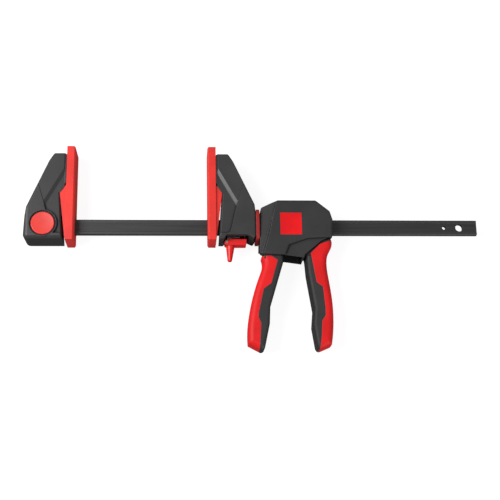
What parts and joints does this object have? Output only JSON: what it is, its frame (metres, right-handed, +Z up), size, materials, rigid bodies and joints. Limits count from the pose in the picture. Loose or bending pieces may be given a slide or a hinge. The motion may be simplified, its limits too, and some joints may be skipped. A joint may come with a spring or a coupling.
{
  "type": "trigger bar clamp",
  "caption": "One-handed trigger bar clamp: steel bar, fixed jaw with lock button, sliding jaw with release lever, and a handle that swivels about the bar.",
  "frame": {"origin": "the fixed pad's pressing face, on the centre line and mid-plane of the bar", "axes": "the clamp lies on its side: +X along the bar from the fixed jaw to the handle, +Y towards the jaw tips, +Z up through the bar's thin side"},
  "size_m": [0.5012, 0.2282, 0.0363],
  "materials": {
    "bar_steel": "dark, drawn",
    "black_nylon": "fine texture",
    "red_nylon": "satin",
    "red_pad": "satin",
    "red_grip": "satin",
    "red_label": "satin",
    "plain_steel": "zinc plated",
    "hardened_steel": "blackened",
    "spring_steel": "drawn wire"
  },
  "bodies": {
    "clamp_bar": {"bar": "bar_steel", "fixed_head_body": "black_nylon", "fixed_pad": "red_pad", "lock_spring": "spring_steel"},
    "lock": {"lock_button": "red_nylon", "lock_yoke": "plain_steel", "lock_pin": "plain_steel"},
    "moving_jaw": {"moving_jaw_body": "black_nylon", "moving_pad": "red_pad", "release_lever_pin": "plain_steel", "swivel_ring": "red_nylon", "swivel_circlip": "spring_steel", "rear_guide_bush": "black_nylon", "brake_spring": "spring_steel", "drive_spring": "spring_steel"},
    "release_lever": {"release_lever": "red_nylon"},
    "brake": {"brake_plate": "hardened_steel"},
    "drive": {"thrust_collar": "hardened_steel", "drive_plate_front": "hardened_steel", "drive_plate_rear": "hardened_steel"},
    "handle": {"housing_shell_near": "black_nylon", "housing_shell_far": "black_nylon", "housing_screws": "plain_steel", "rear_grip": "red_grip", "label_plate": "red_label", "trigger_pin": "plain_steel"},
    "trigger": {"trigger_lever": "black_nylon", "trigger_grip": "red_grip"}
  },
  "joints": [
    {"name": "jaw_slide", "type": "slide", "parent": "clamp_bar", "child": "moving_jaw", "axis": [1, 0, 0], "range_m": [-0.145, 0.155]},
    {"name": "lock_press", "type": "slide", "parent": "clamp_bar", "child": "lock", "axis": [0, 0, -1], "range_m": [0, 0.0052], "stiffness_N_per_m": 400, "springref_m": -0.005, "deforming": ["lock_spring"]},
    {"name": "release_lever_hinge", "type": "hinge", "parent": "moving_jaw", "child": "release_lever", "pos_m": [0.1663, -0.0177, 0], "axis": [0, 0, 1], "range_deg": [0, 8], "stiffness_Nm_per_rad": 0.6, "springref_deg": -11.46},
    {"name": "brake_tilt", "type": "hinge", "parent": "moving_jaw", "child": "brake", "pos_m": [0.17, 0.0145, 0], "axis": [0, 0, 1], "range_deg": [0, 6.4]},
    {"name": "handle_swivel", "type": "hinge", "parent": "moving_jaw", "child": "handle", "pos_m": [0.2013, 0, 0], "axis": [1, 0, 0], "continuous": true},
    {"name": "trigger_pull", "type": "hinge", "parent": "handle", "child": "trigger", "pos_m": [0.229, 0.0174, 0], "axis": [0, 0, 1], "range_deg": [0, 18], "stiffness_Nm_per_rad": 1, "springref_deg": -17.19},
    {"name": "drive_advance", "type": "slide", "parent": "moving_jaw", "child": "drive", "axis": [1, 0, 0], "range_m": [0, 0.0057], "deforming": ["drive_spring"]}
  ],
  "couplings": [
    {"joint": "brake_tilt", "follows": "release_lever_hinge", "ratio": 0.8},
    {"joint": "drive_advance", "follows": "trigger_pull", "m_per_rad": 0.0178}
  ]
}
